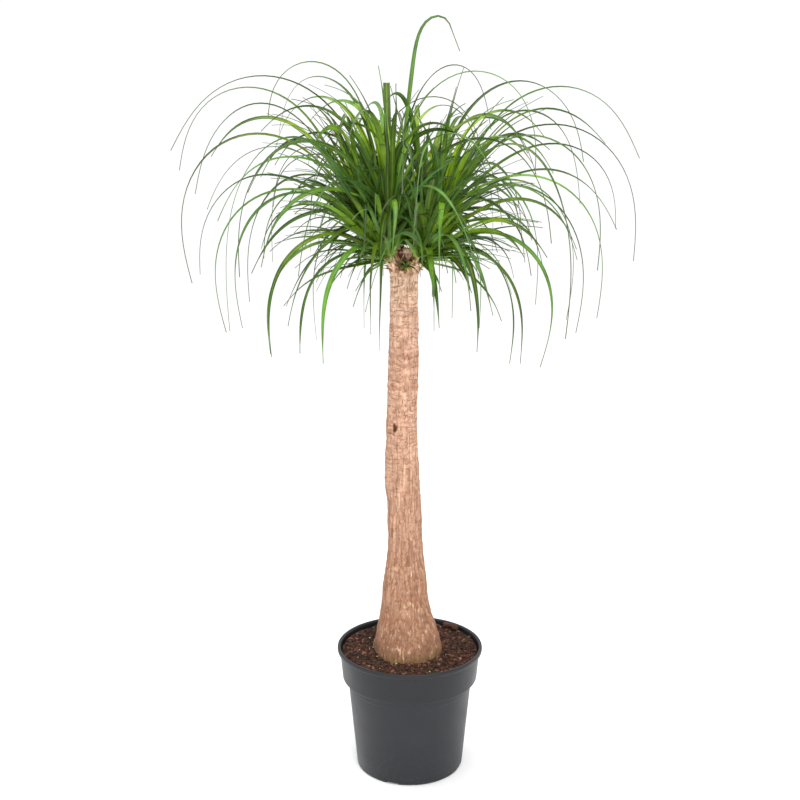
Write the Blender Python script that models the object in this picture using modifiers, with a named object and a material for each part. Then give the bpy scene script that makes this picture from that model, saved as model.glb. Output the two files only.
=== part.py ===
"""Potted ponytail palm: a nursery pot, its soil, the trunk, the growing hearts and the outer leaves.

Metres, +Z up. The origin is on the floor, under the middle of the pot. Front is -Y.
"""
import math

import bmesh
import bpy
from mathutils import Euler, Matrix, Vector

# ---- driving dimensions ----
GAP = 0.0003                # clearance between touching pieces

POT_HEIGHT = 0.210
LIP_RADIUS = 0.1205         # outside of the rolled lip
LIP_DEPTH = 0.008
LIP_FLARE = 0.0006          # how far the wall opens out inside the lip
LIP_EDGE = 0.001            # small step above and below the rolled lip
BAND_TOP_RADIUS = 0.1160    # rim band, just under the lip
BAND_FOOT_RADIUS = 0.1118
BAND_FOOT_Z = 0.156
BODY_TOP_RADIUS = 0.1034    # body, just under the band's shelf
BODY_TOP_Z = 0.152
STACKING_LINE_Z = 0.142     # below this line the body is drawn in a little
STACKING_STEP = 0.0006
SHELF_RISE = 0.0018         # how much higher the shelf is on its inside
BASE_RADIUS = 0.0885
BASE_ROUND = 0.004          # radius of the bottom corner
WALL = 0.0022
FLOOR_Z = 0.005             # underside of the raised floor
FOOT_RING_WIDTH = 0.010
POT_STEPS = 56              # facets round the pot

DRAIN_SLOTS = 4             # slots in the bottom edge
DRAIN_SLOT_WIDTH = 0.022
DRAIN_SLOT_HEIGHT = 0.0042
FIRST_SLOT_ANGLE = -109.0   # degrees, from +X
DRAIN_HOLES = 8             # round holes in the floor
DRAIN_HOLE_RADIUS = 0.006
DRAIN_HOLE_CIRCLE = 0.058

SOIL_EDGE_Z = 0.2020        # level of the soil at the pot's wall
SOIL_MIDDLE_Z = 0.2050      # level against the trunk
SOIL_LEVEL_RADIUS = 0.062   # level this far out from the middle
SOIL_SLOPE_RADIUS = 0.085   # half of the fall to the edge lies inside this radius
SOIL_CROWN = 0.0005         # how far that half bulges
SOIL_STEPS = 40

TRUNK_BURIED_Z = 0.170      # lowest point of the swollen foot
TRUNK_SIDES_RESOLUTION = 9  # bevel resolution: twice this and four more sides
# Height, sideways and front-to-back place of the axis, and radius of the trunk.
TRUNK_STATIONS = (
    (0.176, -0.003, -0.011, 0.0500),
    (0.203, -0.003, -0.010, 0.0600),
    (0.227, -0.005, -0.008, 0.0540),
    (0.250, -0.007, -0.005, 0.0470),
    (0.279, -0.008, -0.002, 0.0400),
    (0.325, -0.008, 0.002, 0.0355),
    (0.370, -0.007, 0.004, 0.0290),
    (0.440, -0.009, 0.005, 0.0275),
    (0.505, -0.013, 0.002, 0.0285),
    (0.585, -0.014, -0.002, 0.0242),
    (0.680, -0.011, -0.005, 0.0240),
    (0.770, -0.010, -0.004, 0.0222),
    (0.818, -0.010, -0.002, 0.0215),
    (0.838, -0.010, -0.001, 0.0240),
    (0.850, -0.010, 0.000, 0.0200),
)

STUB_TOP = (-0.003, -0.012, 0.868)  # the cut end of the old leader
STUB_RADIUS = 0.0095
STUB_ROOT_RADIUS = 0.013
SHOOT_ROOT_Z = 0.828        # where the side shoots leave the trunk
SHOOT_RADIUS = 0.0080
SHOOT_COLLAR = 0.022        # straight end of a shoot, under its head

# Growing heads: foot of the leaf bundle, lean from upright in degrees, and the heading of that lean.
HEADS = {
    "main": ((-0.030, -0.014, 0.908), 5, 150),
    "left": ((-0.070, 0.004, 0.908), 24, 178),
    "low_left": ((-0.037, -0.027, 0.860), 42, 214),
    "right": ((0.043, 0.006, 0.912), 20, 0),
    "low_right": ((0.019, -0.028, 0.860), 44, 318),
    "back_left": ((-0.038, 0.052, 0.890), 24, 120),
    "back_right": ((0.018, 0.048, 0.900), 20, 60),
}
HEART_RADIUS = 0.0115       # round the clasped feet of the leaves
HEART_HEIGHT = 0.120
HEART_TIP_RADIUS = 0.0016

LEAF_WIDTH = 0.0115
LEAF_TIP_WIDTH = 0.0018
LEAF_THICKNESS = 0.0017
LEAF_FOLD = 24.0            # degrees that each half of the blade rises from its midrib
LEAF_RINGS = 15
LEAF_FOOT_LIFT = 0.022      # how much higher up its head an upright leaf stands than a level one
LEAF_FOOT_CLEARANCE = 0.0015  # midrib to the heart it stands against
# Outer leaves, one row each: head, heading and rise at the foot in degrees, length, how far the
# blade bends down in degrees, how late it bends, and the share of its end that stays straight.
LEAVES = (
    ("main", 0, 84, 0.359, 152, 7.0, 0.1),
    ("main", 202, 81, 0.375, 165, 1.9, 0.0),
    ("main", 142, 77, 0.39, 150, 1.6, 0.0),
    ("main", 175, 70, 0.48, 130, 1.25, 0.0),
    ("main", 220, 58, 0.44, 150, 1.0, 0.0),
    ("main", 264, 30, 0.27, 118, 0.50, 0.0),
    ("main", 284, 86, 0.32, 178, 0.85, 0.0),
    ("main", 332, 84, 0.46, 176, 1.25, 0.0),
    ("main", 50, 78, 0.44, 150, 1.5, 0.0),
    ("left", 176, 71, 0.44, 150, 1.35, 0.0),
    ("left", 150, 64, 0.47, 140, 1.2, 0.0),
    ("left", 202, 60, 0.48, 163, 1.0, 0.0),
    ("left", 240, 54, 0.55, 150, 0.95, 0.0),
    ("left", 124, 52, 0.45, 145, 1.0, 0.0),
    ("left", 188, 36, 0.39, 140, 0.85, 0.0),
    ("left", 162, 34, 0.38, 135, 0.8, 0.0),
    ("left", 260, 84, 0.31, 166, 1.25, 0.0),
    ("low_left", 186, 24, 0.29, 120, 0.8, 0.0),
    ("low_left", 212, 34, 0.31, 130, 0.8, 0.0),
    ("low_left", 238, 22, 0.26, 115, 0.75, 0.0),
    ("low_left", 264, 36, 0.21, 130, 0.7, 0.0),
    ("low_left", 164, 6, 0.24, 95, 0.7, 0.0),
    ("right", 14, 68, 0.455, 130, 1.25, 0.0),
    ("right", 350, 62, 0.48, 155, 1.0, 0.0),
    ("right", 38, 64, 0.45, 145, 1.15, 0.0),
    ("right", 2, 42, 0.42, 140, 0.85, 0.0),
    ("right", 338, 40, 0.39, 140, 0.8, 0.0),
    ("right", 324, 60, 0.44, 155, 1.0, 0.0),
    ("right", 300, 50, 0.54, 148, 0.95, 0.0),
    ("right", 26, 38, 0.42, 140, 0.85, 0.0),
    ("low_right", 344, 34, 0.34, 140, 0.8, 0.0),
    ("low_right", 322, 24, 0.27, 122, 0.75, 0.0),
    ("low_right", 300, 30, 0.24, 125, 0.7, 0.0),
    ("low_right", 6, 14, 0.27, 108, 0.7, 0.0),
    ("low_right", 274, 30, 0.18, 125, 0.65, 0.0),
    ("back_left", 120, 58, 0.41, 148, 1.0, 0.0),
    ("back_left", 92, 50, 0.37, 145, 0.9, 0.0),
    ("back_left", 148, 46, 0.45, 140, 0.9, 0.0),
    ("back_left", 132, 20, 0.34, 120, 0.75, 0.0),
    ("back_left", 104, 16, 0.29, 112, 0.7, 0.0),
    ("back_right", 18, 76, 0.46, 155, 1.35, 0.0),
    ("back_right", 62, 56, 0.42, 148, 1.0, 0.0),
    ("back_right", 88, 62, 0.365, 150, 1.1, 0.0),
    ("back_right", 40, 44, 0.43, 140, 0.85, 0.0),
    ("back_right", 74, 26, 0.34, 120, 0.75, 0.0),
    ("back_right", 50, 14, 0.29, 110, 0.7, 0.0),
)
# Leaves that have been cut off square, as above.
CUT_LEAVES = (
    ("main", 98, 86, 0.185, 6, 1.0, 0.0),
    ("back_right", 180, 82, 0.195, 8, 1.0, 0.0),
    ("left", 60, 80, 0.085, 10, 1.0, 0.0),
)

PLASTIC = ("pot_plastic", (0.055, 0.058, 0.064), 0.45)
SOIL = ("potting_soil", (0.060, 0.028, 0.018), 0.95)
BARK = ("corky_bark", (0.50, 0.32, 0.21), 0.85)
YOUNG_LEAF = ("young_leaf", (0.20, 0.42, 0.03), 0.45)
LEAF = ("leaf", (0.06, 0.18, 0.025), 0.45)


def clear_scene():
    for old in list(bpy.data.objects):
        bpy.data.objects.remove(old, do_unlink=True)


def new_collection(name):
    collection = bpy.data.collections.new(name)
    bpy.context.scene.collection.children.link(collection)
    return collection


def finish_material(finish):
    name, colour, roughness = finish
    material = bpy.data.materials.get(name)
    if material is None:
        material = bpy.data.materials.new(name)
        material.use_nodes = True
        shader = material.node_tree.nodes["Principled BSDF"]
        shader.inputs["Base Color"].default_value = (*colour, 1.0)
        shader.inputs["Roughness"].default_value = roughness
        shader.inputs["Metallic"].default_value = 0.0
    return material


def add_object(name, data, collection, finish=None):
    piece = bpy.data.objects.new(name, data)
    collection.objects.link(piece)
    if finish:
        data.materials.append(finish_material(finish))
    return piece


def turned(name, profile, steps, collection, finish=None):
    """A solid of revolution. The profile runs up the inside and down the outside."""
    mesh = bpy.data.meshes.new(name)
    points = [(radius, 0.0, z) for radius, z in profile]
    mesh.from_pydata(points, [(i, i + 1) for i in range(len(points) - 1)], [])
    piece = add_object(name, mesh, collection, finish)
    screw = piece.modifiers.new("Turn", "SCREW")
    screw.axis = "Z"
    screw.steps = steps
    screw.render_steps = steps
    screw.use_merge_vertices = True
    screw.merge_threshold = 0.00005
    return piece


def arc(centre, radius, start, end, count):
    """Points on an arc in the profile's plane; the angles are in degrees from +X."""
    points = []
    for i in range(count + 1):
        angle = math.radians(start + (end - start) * i / count)
        points.append((centre[0] + radius * math.cos(angle), centre[1] + radius * math.sin(angle)))
    return points


def cut(piece, cutter, operation="DIFFERENCE"):
    cutter.hide_render = True
    cutter.display_type = "WIRE"
    boolean = piece.modifiers.new("Cut " + cutter.name, "BOOLEAN")
    boolean.operation = operation
    boolean.solver = "EXACT"
    boolean.object = cutter


def evaluated_mesh(source):
    graph = bpy.context.evaluated_depsgraph_get()
    mesh = bpy.data.meshes.new_from_object(source.evaluated_get(graph))
    return mesh


def baked(piece, collection, finish):
    """The object's evaluated shape as one plain welded mesh in place of the object."""
    bpy.context.view_layer.update()
    name = piece.name
    mesh = evaluated_mesh(piece)
    work = bmesh.new()
    work.from_mesh(mesh)
    bmesh.ops.remove_doubles(work, verts=work.verts, dist=0.00002)
    work.to_mesh(mesh)
    work.free()
    place = piece.matrix_world.copy()
    bpy.data.objects.remove(piece, do_unlink=True)
    mesh.materials.clear()
    solid = add_object(name, mesh, collection, finish)
    solid.matrix_world = place
    return solid


def smooth(piece, angle=40.0):
    piece.data.shade_smooth()
    piece.data.set_sharp_from_angle(angle=math.radians(angle))


def swept(name, points, radii, resolution, collection, finish=None):
    """A round bar through the points, with its own radius at each, closed at both ends."""
    curve = bpy.data.curves.new(name, "CURVE")
    curve.dimensions = "3D"
    curve.bevel_depth = 1.0
    curve.bevel_resolution = resolution
    curve.use_fill_caps = True
    spline = curve.splines.new("POLY")
    spline.points.add(len(points) - 1)
    for knot, point, radius in zip(spline.points, points, radii):
        knot.co = (*point, 1.0)
        knot.radius = radius
    return baked(add_object(name, curve, collection), collection, finish)


# ---- pot ----
def wall_radius(z):
    """Outside radius of the tapered body below the stacking line."""
    line_radius = BODY_TOP_RADIUS - 2 * STACKING_STEP
    return BASE_RADIUS + (line_radius - BASE_RADIUS) * z / STACKING_LINE_Z


def make_pot(collection, cutters):
    lip_round = LIP_DEPTH / 2
    lip_centre = (LIP_RADIUS - lip_round, POT_HEIGHT - lip_round)
    inner_floor_z = FLOOR_Z + WALL
    profile = [(0.0, inner_floor_z), (wall_radius(inner_floor_z) - WALL, inner_floor_z)]
    profile += [
        (BODY_TOP_RADIUS - WALL, BODY_TOP_Z + SHELF_RISE),
        (BAND_FOOT_RADIUS - WALL, BAND_FOOT_Z + SHELF_RISE),
        (BAND_TOP_RADIUS - WALL, POT_HEIGHT - LIP_DEPTH),
        (BAND_TOP_RADIUS - WALL + LIP_FLARE, POT_HEIGHT - LIP_EDGE),
    ]
    profile += arc(lip_centre, lip_round, 90, -90, 6)
    profile += [
        (BAND_TOP_RADIUS, POT_HEIGHT - LIP_DEPTH - LIP_EDGE),
        (BAND_FOOT_RADIUS, BAND_FOOT_Z),
        (BODY_TOP_RADIUS, BODY_TOP_Z),
        (BODY_TOP_RADIUS - STACKING_STEP, STACKING_LINE_Z + STACKING_STEP),
        (BODY_TOP_RADIUS - 2 * STACKING_STEP, STACKING_LINE_Z),
    ]
    profile += arc((BASE_RADIUS - BASE_ROUND, BASE_ROUND), BASE_ROUND, 0, -90, 4)
    ring_inside = BASE_RADIUS - BASE_ROUND - FOOT_RING_WIDTH
    profile += [(ring_inside, 0.0), (ring_inside, FLOOR_Z), (0.0, FLOOR_Z)]
    pot = turned("pot", profile, POT_STEPS, collection, PLASTIC)

    for i in range(DRAIN_SLOTS):
        angle = math.radians(FIRST_SLOT_ANGLE + 360 * i / DRAIN_SLOTS)
        bpy.ops.mesh.primitive_cube_add(size=1.0)
        slot = bpy.context.object
        slot.name = "drain_slot_%d" % (i + 1)
        depth = FOOT_RING_WIDTH + 4 * BASE_ROUND
        slot.data.transform(Matrix.Diagonal((depth, DRAIN_SLOT_WIDTH, 2 * DRAIN_SLOT_HEIGHT, 1.0)))
        reach = BASE_RADIUS - depth / 2 + 2 * BASE_ROUND
        slot.location = (reach * math.cos(angle), reach * math.sin(angle), 0.0)
        slot.rotation_euler = (0.0, 0.0, angle)
        move_to(slot, cutters)
        cut(pot, slot)
    for i in range(DRAIN_HOLES):
        angle = 2 * math.pi * (i + 0.5) / DRAIN_HOLES
        bpy.ops.mesh.primitive_cylinder_add(vertices=12, radius=DRAIN_HOLE_RADIUS, depth=4 * WALL)
        hole = bpy.context.object
        hole.name = "drain_hole_%d" % (i + 1)
        hole.location = (
            DRAIN_HOLE_CIRCLE * math.cos(angle),
            DRAIN_HOLE_CIRCLE * math.sin(angle),
            FLOOR_Z + WALL / 2,
        )
        move_to(hole, cutters)
        cut(pot, hole)
    pot = baked(pot, collection, PLASTIC)
    smooth(pot)
    return pot


def move_to(piece, collection):
    for old in list(piece.users_collection):
        old.objects.unlink(piece)
    collection.objects.link(piece)


# ---- trunk ----
def trunk_path():
    return [(x, y, z) for z, x, y, _ in TRUNK_STATIONS]


def head_frame(name):
    """Foot, axis and heading of one growing head."""
    foot, lean, toward = HEADS[name]
    rotation = Euler((0.0, math.radians(lean), math.radians(toward)), "XYZ")
    return Vector(foot), rotation.to_matrix() @ Vector((0.0, 0.0, 1.0)), rotation


def make_trunk(collection, cutters):
    path = trunk_path()
    radii = [station[3] for station in TRUNK_STATIONS]
    # The buried end and the top are drawn in, so that both are rounded off.
    foot = (path[0][0], path[0][1], TRUNK_BURIED_Z)
    crown = (path[-1][0], path[-1][1], path[-1][2] + 0.006)
    trunk = swept("trunk", [foot, *path, crown], [radii[0] * 0.8, *radii, radii[-1] * 0.6],
                  TRUNK_SIDES_RESOLUTION, collection, BARK)
    root = Vector((path[-1][0], path[-1][1], SHOOT_ROOT_Z))
    stub_top = Vector(STUB_TOP)
    rounded = stub_top + Vector((0.0, 0.0, 0.003))
    stub = swept("stub", [root, root.lerp(stub_top, 0.5), stub_top, rounded],
                 [STUB_ROOT_RADIUS, STUB_RADIUS * 1.05, STUB_RADIUS, STUB_RADIUS * 0.6], 5, cutters)
    cut(trunk, stub, "UNION")
    for name in HEADS:
        end, axis, _ = head_frame(name)
        knee = end - axis * SHOOT_COLLAR
        shoot = swept("shoot_" + name, [root, root.lerp(knee, 0.6), knee, end],
                      [SHOOT_RADIUS * 1.2, SHOOT_RADIUS, SHOOT_RADIUS, SHOOT_RADIUS], 4, cutters)
        cut(trunk, shoot, "UNION")
    trunk = baked(trunk, collection, BARK)
    smooth(trunk, 60.0)
    return trunk


# ---- soil ----
def make_soil(collection, cutters):
    """The soil fills the pot, and the trunk's foot is left out of it with a small gap."""
    bottom_z = FLOOR_Z + WALL + GAP
    inset = WALL + GAP
    profile = [
        (0.0, SOIL_MIDDLE_Z),
        (SOIL_LEVEL_RADIUS, SOIL_MIDDLE_Z),
        (SOIL_SLOPE_RADIUS, (SOIL_MIDDLE_Z + SOIL_EDGE_Z) / 2 + SOIL_CROWN),
        (BAND_TOP_RADIUS - inset - GAP, SOIL_EDGE_Z),
        (BAND_FOOT_RADIUS - inset, BAND_FOOT_Z + SHELF_RISE + 2 * GAP),
        (BODY_TOP_RADIUS - inset, BODY_TOP_Z + SHELF_RISE + GAP),
        (wall_radius(bottom_z) - inset, bottom_z),
        (0.0, bottom_z),
    ]
    soil = turned("soil", profile, SOIL_STEPS, collection, SOIL)
    path = trunk_path()
    radii = [station[3] + GAP for station in TRUNK_STATIONS]
    foot = (path[0][0], path[0][1], TRUNK_BURIED_Z - GAP)
    socket = swept("trunk_socket", [foot, *path[:3]], [radii[0] * 0.8, *radii[:3]],
                   TRUNK_SIDES_RESOLUTION, cutters)
    cut(soil, socket)
    soil = baked(soil, collection, SOIL)
    smooth(soil)
    return soil


# ---- hearts ----
def make_heart(name, collection):
    """The clasped young leaves of one head, as one slim closed bundle on its shoot."""
    foot, axis, rotation = head_frame(name)
    swell = ((0.0, 0.85), (0.06, 1.0), (0.26, 1.0), (0.42, 0.60), (0.70, 0.34))
    outline = [(0.0, HEART_HEIGHT), (HEART_TIP_RADIUS, HEART_HEIGHT)]
    outline += [(HEART_RADIUS * r, HEART_HEIGHT * h) for h, r in reversed(swell)]
    outline.append((0.0, 0.0))
    heart = turned("heart_" + name, outline, 12, collection, YOUNG_LEAF)
    heart.location = foot + axis * GAP
    heart.rotation_euler = rotation
    smooth(heart)
    return heart


# ---- leaves ----
def leaf_slope(along, rise, bend, late, straight):
    """Angle above level at a share of the blade's length, in radians."""
    eased = min(1.0, along / (1.0 - straight)) ** late
    return math.radians(rise - bend * eased * eased * (3 - 2 * eased))


def leaf_spine(head, heading, rise, length, bend, late, straight, rings):
    """Points and directions down the midrib. The blade rises stiffly, arches over and hangs."""
    foot, axis, _ = head_frame(head)
    turn = math.radians(heading)
    outward = Vector((math.cos(turn), math.sin(turn), 0.0))
    lift = LEAF_FOOT_LIFT * max(0.0, rise) / 80.0
    square = math.sqrt(1.0 - outward.dot(axis) ** 2)
    reach = (HEART_RADIUS + LEAF_FOOT_CLEARANCE) / square
    point = foot + axis * (lift + 2 * LEAF_THICKNESS) + outward * reach
    step = length / (rings - 1)
    points, directions = [], []
    for i in range(rings):
        slope = leaf_slope(i / (rings - 1), rise, bend, late, straight)
        direction = outward * math.cos(slope) + Vector((0.0, 0.0, math.sin(slope)))
        points.append(point.copy())
        directions.append(direction)
        slope = leaf_slope((i + 0.5) / (rings - 1), rise, bend, late, straight)
        point = point + (outward * math.cos(slope) + Vector((0.0, 0.0, math.sin(slope)))) * step
    side = Vector((-outward.y, outward.x, 0.0))
    return points, directions, side


def blade_width(along):
    """Share of the full width: drawn in at the foot, then a long even taper."""
    neck = 1.0 - 0.55 * max(0.0, 1.0 - along / 0.12)
    return neck * (1.0 - along ** 1.4)


def make_leaf(name, row, collection, cut_square=False):
    points, directions, side = leaf_spine(*row, LEAF_RINGS)
    fold = math.radians(LEAF_FOLD)
    work = bmesh.new()
    rings = []
    for i, (point, direction) in enumerate(zip(points, directions)):
        along = i / (LEAF_RINGS - 1) * (0.4 if cut_square else 1.0)
        upper = direction.cross(side).normalized() * -1.0
        half = max(LEAF_WIDTH * blade_width(along), LEAF_TIP_WIDTH) / 2
        thick = LEAF_THICKNESS * (1.0 - 0.5 * along) / 2
        edge = side * (half * math.cos(fold))
        lift = upper * (half * math.sin(fold))
        corners = (point - edge + lift, point - upper * thick, point + edge + lift, point + upper * thick)
        rings.append([work.verts.new(corner) for corner in corners])
    for ring, following in zip(rings, rings[1:]):
        for k in range(4):
            work.faces.new((ring[k], ring[(k + 1) % 4], following[(k + 1) % 4], following[k]))
    work.faces.new(rings[0][::-1])
    work.faces.new(rings[-1])
    bmesh.ops.recalc_face_normals(work, faces=work.faces)
    mesh = bpy.data.meshes.new(name)
    work.to_mesh(mesh)
    work.free()
    mesh.shade_smooth()
    return add_object(name, mesh, collection, LEAF)


def main():
    clear_scene()
    parts = new_collection("potted_ponytail_palm")
    cutters = new_collection("cutters")
    make_pot(parts, cutters)
    make_trunk(parts, cutters)
    make_soil(parts, cutters)
    for head in HEADS:
        make_heart(head, parts)
    for number, row in enumerate(LEAVES, 1):
        make_leaf("leaf_%02d" % number, row, parts)
    for number, row in enumerate(CUT_LEAVES, 1):
        make_leaf("cut_leaf_%d" % number, row, parts, cut_square=True)


main()
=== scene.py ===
"""Potted ponytail palm: pot, soil, trunk, heads and leaves, in the order that the plant is put together.

Metres throughout, in the model's own frame: +Z up, front -Y, origin on the floor under the pot.
"""
import math
import random

import bmesh
import bpy
from mathutils import Euler, Matrix, Vector, noise


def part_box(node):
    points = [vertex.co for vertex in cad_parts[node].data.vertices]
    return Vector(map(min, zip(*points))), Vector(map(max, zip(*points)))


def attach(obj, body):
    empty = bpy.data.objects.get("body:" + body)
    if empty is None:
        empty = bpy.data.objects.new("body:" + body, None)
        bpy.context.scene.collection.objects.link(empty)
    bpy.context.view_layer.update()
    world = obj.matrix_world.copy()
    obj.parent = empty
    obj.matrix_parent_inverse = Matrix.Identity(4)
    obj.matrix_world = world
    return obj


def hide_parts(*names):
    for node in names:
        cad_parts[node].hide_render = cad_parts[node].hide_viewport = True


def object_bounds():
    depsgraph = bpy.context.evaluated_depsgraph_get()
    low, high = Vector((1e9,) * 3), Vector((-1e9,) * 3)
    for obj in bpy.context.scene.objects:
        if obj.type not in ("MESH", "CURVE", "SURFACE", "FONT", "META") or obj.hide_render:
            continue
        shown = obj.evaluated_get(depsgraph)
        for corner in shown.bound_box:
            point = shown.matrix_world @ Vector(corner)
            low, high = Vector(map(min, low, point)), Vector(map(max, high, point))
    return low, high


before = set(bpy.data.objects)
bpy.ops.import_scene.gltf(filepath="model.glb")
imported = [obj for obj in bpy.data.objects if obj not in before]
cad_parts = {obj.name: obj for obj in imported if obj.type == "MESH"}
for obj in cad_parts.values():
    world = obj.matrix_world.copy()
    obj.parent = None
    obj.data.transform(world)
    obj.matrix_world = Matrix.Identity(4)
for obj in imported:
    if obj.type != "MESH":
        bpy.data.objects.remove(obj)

cad_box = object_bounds()


# ---- Pot ----
# A round nursery container, injection-moulded in one shot: a rolled lip, a deep rim band that steps in
# to a tapered body, a rounded bottom corner with four drainage slots, and round holes in its floor.
LIP_RADIUS = 0.1205
LIP_DEPTH = 0.008
BAND_TOP_RADIUS = 0.1160
BAND_FOOT_RADIUS = 0.1118
BAND_FOOT_Z = 0.1560
BODY_TOP_RADIUS = 0.1034
BODY_TOP_Z = 0.1520
STACKING_LINE_Z = 0.1420
BASE_RADIUS = 0.0885
WALL = 0.0022
FLOOR_Z = 0.005
FOOT_RING_WIDTH = 0.010
POT_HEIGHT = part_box("pot")[1].z
DRAIN_SLOTS = 4
DRAIN_SLOT_WIDTH = 0.022
DRAIN_SLOT_HEIGHT = 0.0042
FIRST_SLOT_ANGLE = -109
DRAIN_HOLES = 8
DRAIN_HOLE_RADIUS = 0.006
DRAIN_HOLE_CIRCLE = 0.058
POT_SIDES = 180


def linear(hex_colour):
    """An sRGB hex colour as linear red, green, blue and alpha."""
    parts = [int(hex_colour[i:i + 2], 16) / 255 for i in (1, 3, 5)]
    return (*[c / 12.92 if c <= 0.04045 else ((c + 0.055) / 1.055) ** 2.4 for c in parts], 1.0)


def per(millimetres):
    """Texture scale whose features are about this many millimetres across."""
    return 1000.0 / millimetres


def add_node(tree, kind, inputs, **settings):
    """One node with its settings; an input is a value, or the output that feeds it."""
    made = tree.nodes.new(kind)
    for key, value in settings.items():
        setattr(made, key, value)
    for key, value in inputs.items():
        if isinstance(value, bpy.types.NodeSocket):
            tree.links.new(value, made.inputs[key])
        else:
            made.inputs[key].default_value = value
    return made


def soft_noise(tree, place, millimetres, detail, squeeze=1.0, roughness=0.5, distortion=0.0):
    """Noise with features of about this size; a squeeze under 1 draws them out along the height."""
    if squeeze < 1.0:
        drawn = add_node(tree, "ShaderNodeMapping", {"Vector": place, "Scale": (1.0, 1.0, squeeze)})
        place = drawn.outputs[0]
    texture = add_node(tree, "ShaderNodeTexNoise", {"Vector": place, "Scale": per(millimetres),
                                                    "Detail": detail, "Roughness": roughness,
                                                    "Distortion": distortion})
    return texture.outputs["Fac"]


def ranged(tree, value, low, high, at_low=0.0, at_high=1.0):
    """A value moved from the range low to high into the range at_low to at_high, and held there."""
    return add_node(tree, "ShaderNodeMapRange", {"Value": value, "From Min": low, "From Max": high,
                                                 "To Min": at_low, "To Max": at_high}).outputs[0]


def shaded(tree, value, *stops):
    """Colours that run along a value; each stop is a value and its hex colour, the lowest first."""
    ramp = add_node(tree, "ShaderNodeValToRGB", {"Fac": value})
    elements = ramp.color_ramp.elements
    for i, (position, colour) in enumerate(stops):
        inner = 0 < i < len(stops) - 1
        stop = elements.new(position) if inner else elements[-1 if i else 0]
        stop.position = position
        stop.color = linear(colour)
    return ramp.outputs[0]


def times(tree, value, factor):
    return add_node(tree, "ShaderNodeMath", {0: value, 1: factor}, operation="MULTIPLY").outputs[0]


def scaled(tree, colour, factor):
    """A colour made darker or lighter by a factor."""
    return add_node(tree, "ShaderNodeVectorMath", {0: colour, "Scale": factor}, operation="SCALE").outputs[0]


def laid_over(tree, share, under, over):
    """A hex colour laid over another colour, by its share from 0 to 1."""
    share_socket, under_socket, over_socket, result = 0, 6, 7, 2
    mix = add_node(tree, "ShaderNodeMix", {share_socket: share, under_socket: under,
                                           over_socket: linear(over)}, data_type="RGBA")
    return mix.outputs[result]


def new_finish(name, roughness, specular=0.5):
    """A material with its shader and the piece's own coordinates, in metres."""
    material = bpy.data.materials.new(name)
    material.use_nodes = True
    tree = material.node_tree
    shader = tree.nodes["Principled BSDF"]
    shader.inputs["Roughness"].default_value = roughness
    shader.inputs["Specular IOR Level"].default_value = specular
    place = add_node(tree, "ShaderNodeTexCoord", {}).outputs["Object"]
    return material, tree, shader, place


def join(tree, output, shader, socket):
    tree.links.new(output, shader.inputs[socket])


def dented(tree, shader, height, strength, millimetres):
    """Fine relief over the whole surface, at most this deep."""
    bump = add_node(tree, "ShaderNodeBump", {"Height": height, "Strength": strength,
                                             "Distance": millimetres / 1000})
    join(tree, bump.outputs[0], shader, "Normal")


def add_piece(name, mesh, finishes, replaced=()):
    piece = bpy.data.objects.new(name, mesh)
    bpy.context.scene.collection.objects.link(piece)
    for finish in finishes:
        mesh.materials.append(finish)
    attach(piece, "root")
    if replaced:
        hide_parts(*replaced)
    return piece


def softened(corners):
    """A profile of (radius, height, rounding) corners, each rounded off by a short curve."""
    points = []
    for i, (radius, z, rounding) in enumerate(corners):
        here = Vector((radius, z))
        if rounding == 0 or i in (0, len(corners) - 1):
            points.append((radius, z))
            continue
        before = Vector(corners[i - 1][:2]) - here
        after = Vector(corners[i + 1][:2]) - here
        start = here + before.normalized() * min(rounding, before.length / 2.1)
        end = here + after.normalized() * min(rounding, after.length / 2.1)
        for k in range(6):
            t = k / 5
            points.append(tuple(start * (1 - t) ** 2 + here * 2 * t * (1 - t) + end * t ** 2))
    return points


def lathed(name, profile, steps):
    """A closed solid of revolution; the profile runs up the inside and down the outside."""
    work = bmesh.new()
    rings = []
    for radius, z in profile:
        if radius < 1e-6:
            rings.append([work.verts.new((0.0, 0.0, z))] * steps)
            continue
        turn = [2 * math.pi * k / steps for k in range(steps)]
        rings.append([work.verts.new((radius * math.cos(a), radius * math.sin(a), z)) for a in turn])
    for lower, upper in zip(rings, rings[1:]):
        for k in range(steps):
            corners = (lower[k], lower[(k + 1) % steps], upper[(k + 1) % steps], upper[k])
            work.faces.new(dict.fromkeys(corners))
    bmesh.ops.recalc_face_normals(work, faces=work.faces)
    mesh = bpy.data.meshes.new(name)
    work.to_mesh(mesh)
    work.free()
    mesh.shade_smooth()
    return mesh


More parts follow.
